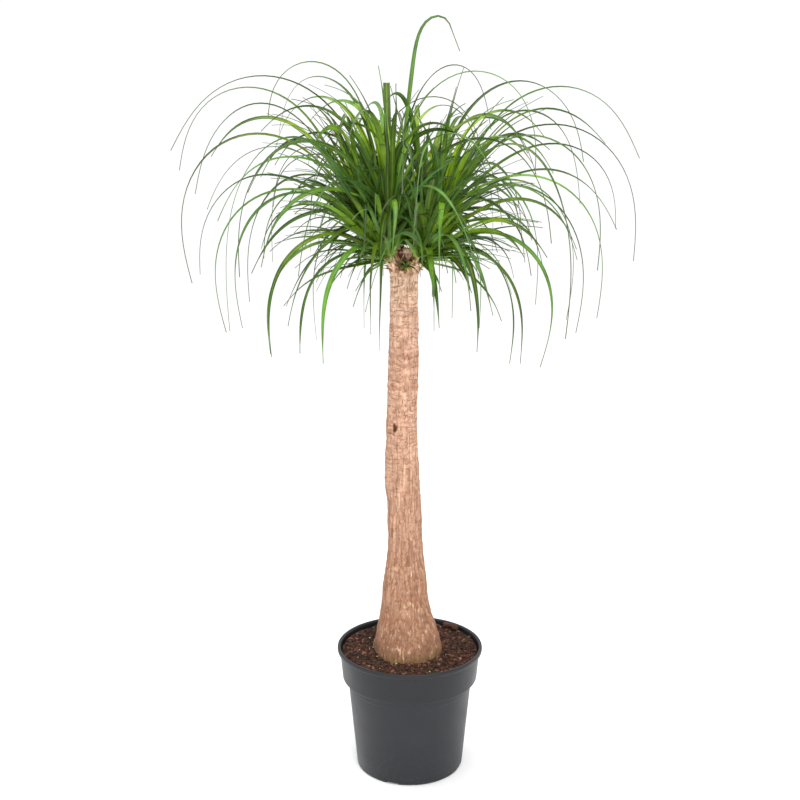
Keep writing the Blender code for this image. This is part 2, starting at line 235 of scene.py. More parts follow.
pot_profile = softened([
    (0.0, FLOOR_Z + WALL, 0),
    (BASE_RADIUS - WALL, FLOOR_Z + WALL, 0.003),
    (BODY_TOP_RADIUS - WALL, BODY_TOP_Z, 0.002),
    (BAND_FOOT_RADIUS - WALL, BAND_FOOT_Z, 0.002),
    (BAND_TOP_RADIUS - WALL, POT_HEIGHT - LIP_DEPTH, 0.002),
    (BAND_TOP_RADIUS - 0.0010, POT_HEIGHT - 0.0012, 0.002),
    (BAND_TOP_RADIUS + 0.0014, POT_HEIGHT, 0.002),
    (LIP_RADIUS, POT_HEIGHT, 0.003),
    (LIP_RADIUS, POT_HEIGHT - LIP_DEPTH * 0.9, 0.003),
    (BAND_TOP_RADIUS + 0.0012, POT_HEIGHT - LIP_DEPTH, 0.001),
    (BAND_TOP_RADIUS, POT_HEIGHT - LIP_DEPTH - 0.0015, 0.001),
    (BAND_FOOT_RADIUS, BAND_FOOT_Z, 0.0014),
    (BODY_TOP_RADIUS, BODY_TOP_Z, 0.0014),
    (BODY_TOP_RADIUS - 0.0008, STACKING_LINE_Z + 0.0006, 0.0005),
    (BODY_TOP_RADIUS - 0.0014, STACKING_LINE_Z, 0.0005),
    (BASE_RADIUS, 0.0, 0.0045),
    (BASE_RADIUS - 0.004 - FOOT_RING_WIDTH, 0.0, 0.0006),
    (BASE_RADIUS - 0.0042 - FOOT_RING_WIDTH, FLOOR_Z, 0.0006),
    (0.0, FLOOR_Z, 0),
])
pot_mesh = lathed("pot_shell", pot_profile, POT_SIDES)

cutter_builder = bmesh.new()
for i in range(DRAIN_SLOTS):
    angle = math.radians(FIRST_SLOT_ANGLE + 360 / DRAIN_SLOTS * i)
    place = Matrix.Rotation(angle, 4, "Z") @ Matrix.Translation((BASE_RADIUS - 0.005, 0, 0))
    size = Matrix.Diagonal((0.026, DRAIN_SLOT_WIDTH, 2 * DRAIN_SLOT_HEIGHT, 1))
    bmesh.ops.create_cube(cutter_builder, matrix=place @ size)
for i in range(DRAIN_HOLES):
    angle = 2 * math.pi * (i + 0.5) / DRAIN_HOLES
    place = Matrix.Translation((DRAIN_HOLE_CIRCLE * math.cos(angle), DRAIN_HOLE_CIRCLE * math.sin(angle),
                                FLOOR_Z + WALL / 2))
    bmesh.ops.create_cone(cutter_builder, cap_ends=True, segments=32, radius1=DRAIN_HOLE_RADIUS,
                          radius2=DRAIN_HOLE_RADIUS, depth=4 * WALL, matrix=place)
cutter_mesh = bpy.data.meshes.new("drain_cutters")
cutter_builder.to_mesh(cutter_mesh)
cutter_builder.free()


def carved(mesh, cutter):
    """The mesh with the cutter's closed shapes taken out of it."""
    solid = bpy.data.objects.new("solid", mesh)
    tool = bpy.data.objects.new("tool", cutter)
    for helper in (solid, tool):
        bpy.context.scene.collection.objects.link(helper)
    boolean = solid.modifiers.new("Carve", "BOOLEAN")
    boolean.solver = "EXACT"
    boolean.object = tool
    graph = bpy.context.evaluated_depsgraph_get()
    result = bpy.data.meshes.new_from_object(solid.evaluated_get(graph))
    for helper in (solid, tool):
        bpy.data.objects.remove(helper, do_unlink=True)
    result.set_sharp_from_angle(angle=math.radians(35))
    return result


# Polypropylene, through-coloured anthracite and satin from the mould: broad soft reflections on a dark
# grey, a faint orange-peel skin, dull smudges from handling, painted shade that darkens the rim band and
# lip, and pale dust towards the foot.
polypropylene, tree, shader, place = new_finish("moulded_polypropylene", 0.42, 0.38)
smudges = soft_noise(tree, place, 55, 4.0)
anthracite = shaded(tree, smudges, (0.25, "#17181e"), (0.55, "#1b1c22"), (0.75, "#202127"))
height = add_node(tree, "ShaderNodeSeparateXYZ", {"Vector": place}).outputs["Z"]
low_down = ranged(tree, height, 0.060, 0.0, 0.03, 0.12)
dust = times(tree, ranged(tree, soft_noise(tree, place, 4, 6.0), 0.50, 0.72), low_down)
dusty = laid_over(tree, dust, anthracite, "#6b665f")
# Painted shade: above the band's foot the colour is darkened, standing in for the shade on the rim band and
# lip.
band_painted_shade = ranged(tree, height, 0.150, 0.162, 1.0, 0.62)
join(tree, scaled(tree, dusty, band_painted_shade), shader, "Base Color")
join(tree, ranged(tree, smudges, 0.3, 0.7, 0.36, 0.50), shader, "Roughness")
skin = soft_noise(tree, place, 1.6, 2.0)
scuffs = soft_noise(tree, place, 2.5, 5.0, squeeze=0.06)
relief = add_node(tree, "ShaderNodeMath", {0: skin, 1: scuffs}, operation="ADD").outputs[0]
dented(tree, shader, relief, 0.08, 0.4)
add_piece("pot_shell", carved(pot_mesh, cutter_mesh), [polypropylene], ["pot"])


# ---- Soil ----
# Potting mix of composted bark and peat, filled to just under the lip and watered flat, a little higher
# against the trunk. Loose bark chips and a few grains of white perlite lie on it.
SOIL_MIDDLE_Z = 0.2050
SOIL_EDGE_Z = 0.2022
SOIL_RADIUS = BAND_TOP_RADIUS - WALL - 0.0012
SOIL_LEVEL_RADIUS = 0.062
SOIL_RINGS, SOIL_STEPS = 56, 200
TRUNK_FOOT = Vector((-0.003, -0.010))
TRUNK_FOOT_RADIUS = 0.060
soil_draw = random.Random(11)


def soil_level(x, y):
    """Height of the soil: a low mound at the trunk, with crumbs and hollows."""
    reach = math.hypot(x, y)
    share = min(1.0, max(0.0, (reach - SOIL_LEVEL_RADIUS) / (SOIL_RADIUS - SOIL_LEVEL_RADIUS)))
    level = SOIL_MIDDLE_Z + (SOIL_EDGE_Z - SOIL_MIDDLE_Z) * share
    coarse = noise.noise(Vector((x, y, 0.0)) * per(16))
    crumbs = noise.noise(Vector((x, y, 0.3)) * per(4.5))
    return level + 0.0018 * coarse + 0.0013 * crumbs


work = bmesh.new()
rings = [[work.verts.new((0.0, 0.0, SOIL_MIDDLE_Z))] * SOIL_STEPS]
for ring in range(1, SOIL_RINGS + 1):
    radius = SOIL_RADIUS * ring / SOIL_RINGS
    turn = [2 * math.pi * k / SOIL_STEPS for k in range(SOIL_STEPS)]
    flat = [(radius * math.cos(a), radius * math.sin(a)) for a in turn]
    rings.append([work.verts.new((x, y, soil_level(x, y))) for x, y in flat])
for radius, z in ((BAND_FOOT_RADIUS - WALL - 0.001, BAND_FOOT_Z),
                  (BODY_TOP_RADIUS - WALL - 0.001, BODY_TOP_Z),
                  (BASE_RADIUS - WALL - 0.001, FLOOR_Z + WALL + 0.0004)):
    rings.append([work.verts.new((radius * math.cos(a), radius * math.sin(a), z)) for a in turn])
rings.append([work.verts.new((0.0, 0.0, FLOOR_Z + WALL + 0.0004))] * SOIL_STEPS)
for inner, outer in zip(rings, rings[1:]):
    for k in range(SOIL_STEPS):
        corners = (inner[k], inner[(k + 1) % SOIL_STEPS], outer[(k + 1) % SOIL_STEPS], outer[k])
        work.faces.new(dict.fromkeys(corners))
bmesh.ops.recalc_face_normals(work, faces=work.faces)
soil_mesh = bpy.data.meshes.new("potting_mix")
work.to_mesh(soil_mesh)
work.free()
soil_mesh.shade_smooth()

# Damp potting mix: nearly black peat with red-brown bark fibre, and patches of a thin green film of
# algae.
potting_mix, tree, shader, place = new_finish("damp_potting_mix", 0.92, 0.25)
lumps = soft_noise(tree, place, 5, 8.0, roughness=0.7)
peat = shaded(tree, lumps, (0.32, "#120b08"), (0.50, "#351f14"), (0.62, "#553324"), (0.76, "#6d4836"))
film = ranged(tree, soft_noise(tree, place, 22, 3.0), 0.50, 0.68, 0.0, 0.55)
join(tree, laid_over(tree, film, peat, "#2b311c"), shader, "Base Color")
dented(tree, shader, lumps, 0.9, 2.0)
add_piece("potting_mix", soil_mesh, [potting_mix], ["soil"])


def crumb_pile(name, count, sizes, flatness, sunk, spot):
    """Loose irregular crumbs lying on the soil, each a dented ball pressed flat and turned at random."""
    template = bmesh.new()
    bmesh.ops.create_icosphere(template, subdivisions=2, radius=1.0)
    ball = [v.co.copy() for v in template.verts]
    faces = [[v.index for v in f.verts] for f in template.faces]
    template.free()
    points, polygons, tones = [], [], []
    for _ in range(count):
        x, y, z = spot()
        size = soil_draw.uniform(*sizes) / 2
        shape = Matrix.Diagonal((size, size * soil_draw.uniform(0.45, 0.8), size * flatness))
        lying = Euler((soil_draw.gauss(0, 0.35), soil_draw.gauss(0, 0.35), soil_draw.uniform(0, 6.28)))
        turn = lying.to_matrix() @ shape
        seed = Vector((soil_draw.uniform(0, 90), 0.0, 0.0))
        tone = soil_draw.random()
        first = len(points)
        for co in ball:
            dent = 1.0 + 0.42 * noise.noise(co * 1.7 + seed)
            points.append(Vector((x, y, z + size * flatness * sunk)) + turn @ (co * dent))
            tones.append(tone)
        polygons += [[first + i for i in face] for face in faces]
    mesh = bpy.data.meshes.new(name)
    mesh.from_pydata(points, [], polygons)
    layer = mesh.attributes.new("tone", "FLOAT", "POINT")
    layer.data.foreach_set("value", tones)
    return mesh


def open_soil():
    """A random spot on the soil, often banked against the trunk's foot."""
    while True:
        if soil_draw.random() < 0.16:
            turn = soil_draw.uniform(0, 2 * math.pi)
            reach = TRUNK_FOOT_RADIUS + soil_draw.uniform(-0.005, 0.006)
            x, y = TRUNK_FOOT.x + reach * math.cos(turn), TRUNK_FOOT.y + reach * math.sin(turn)
            return x, y, soil_level(x, y)
        reach = math.sqrt(soil_draw.uniform(0.052 ** 2, (SOIL_RADIUS - 0.003) ** 2))
        turn = soil_draw.uniform(0, 2 * math.pi)
        x, y = reach * math.cos(turn), reach * math.sin(turn)
        if (Vector((x, y)) - TRUNK_FOOT).length > TRUNK_FOOT_RADIUS - 0.004:
            return x, y, soil_level(x, y)


# Composted pine bark: matt and fibrous, from dark chocolate to dry red-brown, each chip its own shade.
bark_chip, tree, shader, place = new_finish("composted_bark_chip", 0.85, 0.3)
tone = add_node(tree, "ShaderNodeAttribute", {}, attribute_name="tone").outputs["Fac"]
shade = shaded(tree, tone, (0.0, "#20120c"), (0.40, "#4d2d1f"), (0.80, "#7c4f3a"), (1.0, "#a17560"))
fibre = soft_noise(tree, place, 1.5, 4.0)
join(tree, laid_over(tree, fibre, shade, "#22150f"), shader, "Base Color")
dented(tree, shader, fibre, 0.5, 0.8)
chips = crumb_pile("bark_chips", 620, (0.0035, 0.0095), 0.45, 0.35, open_soil)
add_piece("bark_chips", chips, [bark_chip])
small = crumb_pile("bark_crumbs", 900, (0.0016, 0.0040), 0.7, 0.4, open_soil)
add_piece("bark_crumbs", small, [bark_chip])


def by_the_wall():
    """A spot against the pot's wall, behind the trunk on its right."""
    turn = math.radians(soil_draw.uniform(44, 56))
    reach = SOIL_RADIUS - soil_draw.uniform(0.004, 0.009)
    return reach * math.cos(turn), reach * math.sin(turn), SOIL_EDGE_Z + 0.005


propped = crumb_pile("propped_chips", 5, (0.010, 0.019), 0.5, 0.3, by_the_wall)
add_piece("propped_chips", propped, [bark_chip])

# Perlite: popped volcanic glass, chalk white and bone dry, stained a little pink by the peat.
perlite, tree, shader, place = new_finish("popped_perlite", 0.9, 0.2)
stain = soft_noise(tree, place, 2, 3.0)
join(tree, shaded(tree, stain, (0.35, "#9c8272"), (0.65, "#c8b8aa")), shader, "Base Color")
grains = crumb_pile("perlite_grains", 36, (0.0020, 0.0042), 0.85, 0.5, open_soil)
add_piece("perlite_grains", grains, [perlite])


# ---- Trunk ----
# One grown stem: a swollen foot, corky bark that has cracked into small plates higher up and into fine
# upright furrows lower down, and a cut-off top from whose shoulder seven woody shoots carry the heads.
TRUNK_BURIED_Z = 0.170
TRUNK_STATIONS = (
    (0.176, -0.003, -0.011, 0.0500),
    (0.203, -0.003, -0.010, 0.0600),
    (0.227, -0.005, -0.008, 0.0540),
    (0.250, -0.007, -0.005, 0.0470),
    (0.279, -0.008, -0.002, 0.0400),
    (0.325, -0.008, 0.002, 0.0355),
    (0.370, -0.007, 0.004, 0.0290),
    (0.440, -0.009, 0.005, 0.0275),
    (0.505, -0.013, 0.002, 0.0285),
    (0.585, -0.014, -0.002, 0.0242),
    (0.680, -0.011, -0.005, 0.0240),
    (0.770, -0.010, -0.004, 0.0222),
    (0.818, -0.010, -0.002, 0.0215),
    (0.838, -0.010, -0.001, 0.0240),
    (0.850, -0.010, 0.000, 0.0200),
)

STUB_TOP = Vector((-0.003, -0.012, 0.868))
STUB_RADIUS = 0.0095
SHOOT_ROOT_Z = 0.828
SHOOT_RADIUS = 0.0080
SHOOT_COLLAR = 0.022
HEADS = {
    "main": ((-0.030, -0.014, 0.908), 5, 150),
    "left": ((-0.070, 0.004, 0.908), 24, 178),
    "low_left": ((-0.037, -0.027, 0.860), 42, 214),
    "right": ((0.043, 0.006, 0.912), 20, 0),
    "low_right": ((0.019, -0.028, 0.860), 44, 318),
    "back_left": ((-0.038, 0.052, 0.890), 24, 120),
    "back_right": ((0.018, 0.048, 0.900), 20, 60),
}


def head_frame(head):
    """Foot, axis and turn of one growing head: where its shoot ends, and the way it leans."""
    foot, lean, toward = HEADS[head]
    turn = Euler((0.0, math.radians(lean), math.radians(toward)), "XYZ").to_matrix()
    return Vector(foot), turn @ Vector((0.0, 0.0, 1.0)), turn


def eased(value, low, high):
    """0 below low, 1 above high, and a smooth rise between them."""
    share = min(1.0, max(0.0, (value - low) / (high - low)))
    return share * share * (3 - 2 * share)


def trunk_section(z):
    """Middle and radius of the trunk at a height, smoothed between the stations."""
    total = Vector((0.0, 0.0, 0.0, 0.0))
    for offset in (-0.010, -0.005, 0.0, 0.005, 0.010):
        level = min(TRUNK_STATIONS[-1][0], max(TRUNK_STATIONS[0][0], z + offset))
        for low, high in zip(TRUNK_STATIONS, TRUNK_STATIONS[1:]):
            if level <= high[0]:
                share = (level - low[0]) / (high[0] - low[0])
                total += Vector(low).lerp(Vector(high), share) / 5
                break
    return Vector((total.y, total.z, z)), total.w


def chance(a, b):
    """A fixed random share for a pair of whole numbers."""
    return 0.5 + 0.5 * noise.cell(Vector((a * 3.7 + 0.5, b * 5.3 + 0.5, 0.5)))


PLATE_WIDTH = 0.0068
PLATE_HEIGHT = 0.0066
PLATES_ROUND = 23
CRACK_WIDTH = 0.0014
STRAND_WIDTH = 0.0066
STRAND_LENGTH = 0.0520
FURROW_SEED = 3
noise.seed_set(FURROW_SEED)


def plated(point, turn):
    """Courses of small plates like rough brickwork: closeness to a crack, and the plate's own tone."""
    course = point.z / PLATE_HEIGHT + 0.8 * noise.noise(point * per(26)) + 0.35 * noise.noise(point * per(7))
    row = math.floor(course)
    column = PLATES_ROUND * (turn / (2 * math.pi) + chance(row, 0)) + 0.5 * noise.noise(point * per(8))
    brick = math.floor(column)
    seam = min(course - row, 1 - course + row) * PLATE_HEIGHT / CRACK_WIDTH
    split = min(column - brick, 1 - column + brick) * PLATE_WIDTH / CRACK_WIDTH
    seam += 1.3 * eased(noise.noise(point * per(12)), -0.15, 0.30)
    split += 1.6 * eased(noise.noise(point * per(13) + Vector((7.0, 0.0, 0.0))), -0.25, 0.30)
    return min(1.0, seam, split), chance(row, brick % PLATES_ROUND + 1)


def furrowed(point):
    """Long upright furrows: closeness to the nearest, and the tone of the strand between them."""
    wander = noise.noise_vector(point * per(14)) * 0.5 + noise.noise_vector(point * per(4)) * 0.15
    spot = Vector((point.x / STRAND_WIDTH, point.y / STRAND_WIDTH, point.z / STRAND_LENGTH)) + wander
    distances, middles = noise.voronoi(spot)
    return min(1.0, (distances[1] - distances[0]) / 0.22), 0.5 + 0.5 * noise.cell(middles[0] * 9.7)


def bark_relief(point, turn, fibrous):
    """Depth of the bark at a spot, with the numbers that colour it: plate, tone and ring."""
    plate, tone = plated(point, turn)
    furrow, strand = furrowed(point)
    grain = noise.noise(Vector((point.x * per(3), point.y * per(3), point.z * per(16))))
    ring = noise.noise(Vector((point.x * per(60), point.y * per(60), point.z * per(5.5))))
    whole = plate * (1 - fibrous) + (0.25 + 0.75 * furrow) * fibrous
    shade = tone * (1 - fibrous) + strand * fibrous
    depth = 0.0008 * (whole - 0.8) + 0.0005 * grain + 0.0004 * ring * (1 - fibrous) + 0.0004 * (shade - 0.5)
    return depth, (whole, shade, 0.5 + 0.5 * ring)


class BarkTube:
    """Bark-covered stems gathered into one mesh; each is a ring of points swept along its axis."""

    def __init__(self):
        self.points, self.faces, self.colours = [], [], []

    def sweep(self, centres, radii, sides, fibrous, marks=(), ring_gap=None, shaded=0.0):
        first = len(self.points)
        for i, (centre, radius) in enumerate(zip(centres, radii)):
            ahead = (centres[min(i + 1, len(centres) - 1)] - centres[max(i - 1, 0)]).normalized()
            across = Vector((1.0, 0.0, 0.0))
            across = (across - ahead * across.dot(ahead)).normalized()
            other = ahead.cross(across)
            for k in range(sides):
                turn = 2 * math.pi * k / sides
                outward = across * math.cos(turn) + other * math.sin(turn)
                surface = centre + outward * radius
                depth, (plate, tone, ring) = bark_relief(surface, turn, fibrous(surface.z))
                if ring_gap:
                    wave = math.sin(2 * math.pi * surface.z / ring_gap + 2 * noise.noise(surface * per(12)))
                    depth = 0.0007 * wave + 0.3 * depth
                    plate = min(1.0, 0.95 + 0.45 * wave)
                lobes = 0.045 + 0.06 * eased(surface.z, 0.27, 0.20)
                lump = noise.noise(surface * per(34)) * lobes + noise.noise(surface * per(12)) * 0.020
                # Painted shade: dark darkens the bark colour, by the shaded share along the shoots and
                # towards the middle of each sunken knot.
                dark = shaded
                for spot, size, rise in marks:
                    ragged = size * (1.0 + 0.7 * noise.noise(surface * per(3)))
                    near = max(0.0, 1.0 - (surface - spot).length / ragged)
                    depth += rise * near * near
                    dark = max(dark, near if rise < 0 else 0.0)
                self.points.append(centre + outward * (radius * (1 + lump) + depth))
                self.colours.append((plate * (1 - dark), tone, ring, dark))
        for i in range(len(centres) - 1):
            for k in range(sides):
                row = first + i * sides
                after = (k + 1) % sides
                self.faces.append((row + k, row + after, row + sides + after, row + sides + k))
        self.faces.append(tuple(first + k for k in reversed(range(sides))))
        last = first + (len(centres) - 1) * sides
        self.faces.append(tuple(last + k for k in range(sides)))

    def mesh(self, name):
        made = bpy.data.meshes.new(name)
        made.from_pydata(self.points, [], self.faces)
        layer = made.color_attributes.new("bark", "FLOAT_COLOR", "POINT")
        layer.data.foreach_set("color", [c for colour in self.colours for c in colour])
        made.shade_smooth()
        return made


# Knots and swellings: where they are, how wide, and how far they stand out or sink in.
KNOTS = (
    (Vector((-0.024, -0.023, 0.590)), 0.0058, -0.0020),
    (Vector((-0.024, -0.023, 0.5865)), 0.0062, -0.0022),
    (Vector((-0.025, -0.023, 0.583)), 0.0058, -0.0020),
    (Vector((0.012, -0.006, 0.742)), 0.0120, 0.0022),
    (Vector((-0.032, -0.004, 0.842)), 0.0130, 0.0040),
    (Vector((0.012, -0.006, 0.842)), 0.0110, 0.0030),
    (Vector((-0.002, 0.020, 0.640)), 0.0080, -0.0020),
    (Vector((-0.024, 0.024, 0.470)), 0.0140, 0.0026),
    (Vector((0.018, 0.008, 0.540)), 0.0120, 0.0022),
)
TRUNK_RINGS = 480
TRUNK_SIDES = 180
stems = BarkTube()
trunk_low = TRUNK_BURIED_Z + 0.004
trunk_top = TRUNK_STATIONS[-1][0]
levels = [trunk_low + (trunk_top - trunk_low) * i / TRUNK_RINGS for i in range(TRUNK_RINGS + 1)]
sections = [trunk_section(z) for z in levels]
centres = [centre for centre, _ in sections]
radii = [radius for _, radius in sections]
for share in (0.86, 0.66, 0.40, 0.12):
    centres.append(sections[-1][0] + Vector((0.0, 0.0, 0.006 * math.sqrt(1 - share * share))))
    radii.append(sections[-1][1] * share)
stems.sweep(centres, radii, TRUNK_SIDES, lambda z: 1.0 - eased(z, 0.36, 0.62), KNOTS)

root = Vector((centres[TRUNK_RINGS].x, centres[TRUNK_RINGS].y, SHOOT_ROOT_Z))
path = [root.lerp(STUB_TOP, i / 26) for i in range(27)]
girth = [0.0130 + (STUB_RADIUS - 0.0130) * eased(i / 26, 0.3, 0.9) for i in range(27)]
path += [STUB_TOP + Vector((0.0, 0.0, rise)) for rise in (0.0014, 0.0022, 0.0026)]
girth += [STUB_RADIUS * share for share in (0.86, 0.60, 0.20)]
stems.sweep(path, girth, 56, lambda z: 0.0, ring_gap=0.0062)
for head in HEADS:
    foot, axis, _ = head_frame(head)
    knee = foot - axis * SHOOT_COLLAR
    bends = [root.lerp(knee, t / 8) for t in range(8)] + [knee.lerp(foot, t / 6) for t in range(7)]
    for _ in range(3):
        inner = [(a + b * 2 + c) / 4 for a, b, c in zip(bends, bends[1:], bends[2:])]
        bends = [bends[0], *inner, bends[-1]]
    # Painted shade: the shoots' bark is darkened by about a quarter.
    stems.sweep(bends, [SHOOT_RADIUS] * len(bends), 32, lambda z: 0.3, shaded=0.24)

# Corky bark: dry, matt and pinkish tan, paler and pinker upward and browner with age below, its palest top
# partly its own colour and partly painted light that lifts the crown's shadow; brown in its cracks, with
# bright weathered fibres, painted shade in sunken knots and on the shoots, and a faint green film where
# the soil keeps it damp.
cork, tree, shader, place = new_finish("corky_bark", 0.86, 0.2)
marks = add_node(tree, "ShaderNodeAttribute", {}, attribute_name="bark")
parts = add_node(tree, "ShaderNodeSeparateColor", {"Color": marks.outputs["Color"]})
plate, tone, ring = (parts.outputs[part] for part in ("Red", "Green", "Blue"))
height = add_node(tree, "ShaderNodeSeparateXYZ", {"Vector": place}).outputs["Z"]
# Paler up the trunk: the bark's own colour, and at the very top painted light that offsets the shadow the
# crown casts.
bark_tone_and_painted_top_light = shaded(tree, ranged(tree, height, 0.20, 0.85), (0.0, "#82604a"), (0.16, "#a9836b"),
                (0.55, "#c29b83"), (0.80, "#c9a18a"), (1.0, "#ecc9af"))
plates = scaled(tree, bark_tone_and_painted_top_light, ranged(tree, tone, 0.0, 1.0, 0.78, 1.20))
fibres = soft_noise(tree, place, 4, 5.0, squeeze=0.075, roughness=0.62, distortion=0.4)
age = ranged(tree, height, 0.66, 0.30, 0.45, 0.85)
darker = laid_over(tree, times(tree, ranged(tree, fibres, 0.50, 0.64), age), plates, "#7b523b")
strands = soft_noise(tree, place, 3.6, 3.0, squeeze=0.055, distortion=0.25)
streaked = laid_over(tree, ranged(tree, strands, 0.43, 0.30, 0.0, 0.62), darker, "#eac7a4")
ringed = laid_over(tree, ranged(tree, ring, 0.52, 0.76, 0.0, 0.45), streaked, "#94694f")
flecks = soft_noise(tree, place, 6.5, 5.0, roughness=0.68, distortion=0.5)
mottled = laid_over(tree, ranged(tree, flecks, 0.47, 0.63, 0.0, 0.62), ringed, "#8a5d43")
cracked = laid_over(tree, ranged(tree, plate, 0.75, 0.12, 0.0, 0.80), mottled, "#6b4530")
# Painted shade: darker brown in the sunken knots and along the shoots.
painted_shade_in_knots_and_shoots = laid_over(tree, ranged(tree, marks.outputs["Alpha"], 0.25, 0.7), cracked, "#4e2c17")
film = times(tree, soft_noise(tree, place, 16, 4.0), ranged(tree, height, 0.236, 0.203))
greened = laid_over(tree, ranged(tree, film, 0.26, 0.62, 0.0, 0.62), painted_shade_in_knots_and_shoots, "#75713a")
join(tree, greened, shader, "Base Color")
dented(tree, shader, fibres, 0.7, 1.0)
add_piece("barked_trunk", stems.mesh("barked_trunk"), [cork], ["trunk"])


# ---- Leaves ----
# Narrow strap leaves, folded along the midrib and clasping the head with a broad pale foot. They rise
# stiffly, arch over under their own weight and hang in hair-fine tips; a few were cut off square.
LEAF_WIDTH = 0.0120
LEAF_TIP_WIDTH = 0.0013
LEAF_THICKNESS = 0.0008
LEAF_FOLD = 30.0
HEART_RADIUS = 0.0115
LEAF_FOOT_LIFT = 0.022
LEAF_FOOT_CLEARANCE = 0.0015
LEAF_FOOT_RISE = 0.0034
LEAVES = (
    ("main", 0, 84, 0.359, 152, 7.0, 0.1),
    ("main", 202, 81, 0.375, 165, 1.9, 0.0),
    ("main", 142, 77, 0.39, 150, 1.6, 0.0),
    ("main", 175, 70, 0.48, 130, 1.25, 0.0),
    ("main", 220, 58, 0.44, 150, 1.0, 0.0),
    ("main", 264, 30, 0.27, 118, 0.50, 0.0),
    ("main", 284, 86, 0.32, 178, 0.85, 0.0),
    ("main", 332, 84, 0.46, 176, 1.25, 0.0),
    ("main", 50, 78, 0.44, 150, 1.5, 0.0),
    ("left", 176, 71, 0.44, 150, 1.35, 0.0),
    ("left", 150, 64, 0.47, 140, 1.2, 0.0),
    ("left", 202, 60, 0.48, 163, 1.0, 0.0),
    ("left", 240, 54, 0.55, 150, 0.95, 0.0),
    ("left", 124, 52, 0.45, 145, 1.0, 0.0),
    ("left", 188, 36, 0.39, 140, 0.85, 0.0),
    ("left", 162, 34, 0.38, 135, 0.8, 0.0),
    ("left", 260, 84, 0.31, 166, 1.25, 0.0),
    ("low_left", 186, 24, 0.29, 120, 0.8, 0.0),
    ("low_left", 212, 34, 0.31, 130, 0.8, 0.0),
    ("low_left", 238, 22, 0.26, 115, 0.75, 0.0),
    ("low_left", 264, 36, 0.21, 130, 0.7, 0.0),
    ("low_left", 164, 6, 0.24, 95, 0.7, 0.0),
    ("right", 14, 68, 0.455, 130, 1.25, 0.0),
    ("right", 350, 62, 0.48, 155, 1.0, 0.0),
    ("right", 38, 64, 0.45, 145, 1.15, 0.0),
    ("right", 2, 42, 0.42, 140, 0.85, 0.0),
    ("right", 338, 40, 0.39, 140, 0.8, 0.0),
    ("right", 324, 60, 0.44, 155, 1.0, 0.0),
    ("right", 300, 50, 0.54, 148, 0.95, 0.0),
    ("right", 26, 38, 0.42, 140, 0.85, 0.0),
    ("low_right", 344, 34, 0.34, 140, 0.8, 0.0),
    ("low_right", 322, 24, 0.27, 122, 0.75, 0.0),
    ("low_right", 300, 30, 0.24, 125, 0.7, 0.0),
    ("low_right", 6, 14, 0.27, 108, 0.7, 0.0),
    ("low_right", 274, 30, 0.18, 125, 0.65, 0.0),
    ("back_left", 120, 58, 0.41, 148, 1.0, 0.0),
    ("back_left", 92, 50, 0.37, 145, 0.9, 0.0),
    ("back_left", 148, 46, 0.45, 140, 0.9, 0.0),
    ("back_left", 132, 20, 0.34, 120, 0.75, 0.0),
    ("back_left", 104, 16, 0.29, 112, 0.7, 0.0),
    ("back_right", 18, 76, 0.46, 155, 1.35, 0.0),
    ("back_right", 62, 56, 0.42, 148, 1.0, 0.0),
    ("back_right", 88, 62, 0.365, 150, 1.1, 0.0),
    ("back_right", 40, 44, 0.43, 140, 0.85, 0.0),
    ("back_right", 74, 26, 0.34, 120, 0.75, 0.0),
    ("back_right", 50, 14, 0.29, 110, 0.7, 0.0),
)
CUT_LEAVES = (
    ("main", 98, 86, 0.185, 6, 1.0, 0.0),
    ("back_right", 180, 82, 0.195, 8, 1.0, 0.0),
    ("left", 60, 80, 0.085, 10, 1.0, 0.0),
)


def leaf_foot(head, heading, rise):
    """Where a leaf stands against its head."""
    foot, axis, _ = head_frame(head)
    turn = math.radians(heading)
    outward = Vector((math.cos(turn), math.sin(turn), 0.0))
    lift = LEAF_FOOT_LIFT * max(0.0, rise) / 80.0
    square = math.sqrt(1.0 - outward.dot(axis) ** 2)
    reach = (HEART_RADIUS + LEAF_FOOT_CLEARANCE) / square
    return foot + axis * (lift + LEAF_FOOT_RISE) + outward * reach


def leaf_path(start, heading, rise, length, bend, late, sway=0.0, wave=0.0, steps=34, straight=0.0):
    """Spots, directions and sideways directions down a midrib that rises, arches over and hangs."""
    spots, directions, sides = [], [], []
    point = start.copy()
    for i in range(steps + 1):
        for part in (0.0, 0.5):
            along = min(1.0, (i + part) / steps)
            share = min(1.0, along / (1.0 - straight)) ** late
            slope = math.radians(rise - bend * share * share * (3 - 2 * share))
            wander = sway * along + wave * along * math.sin(9.0 * along + sway)
            turn = math.radians(heading + wander)
            outward = Vector((math.cos(turn), math.sin(turn), 0.0))
            direction = outward * math.cos(slope) + Vector((0.0, 0.0, math.sin(slope)))
            if part == 0.0:
                spots.append(point.copy())
                directions.append(direction)
                sides.append(Vector((-outward.y, outward.x, 0.0)))
        point = point + direction * (length / steps)
    return spots, directions, sides


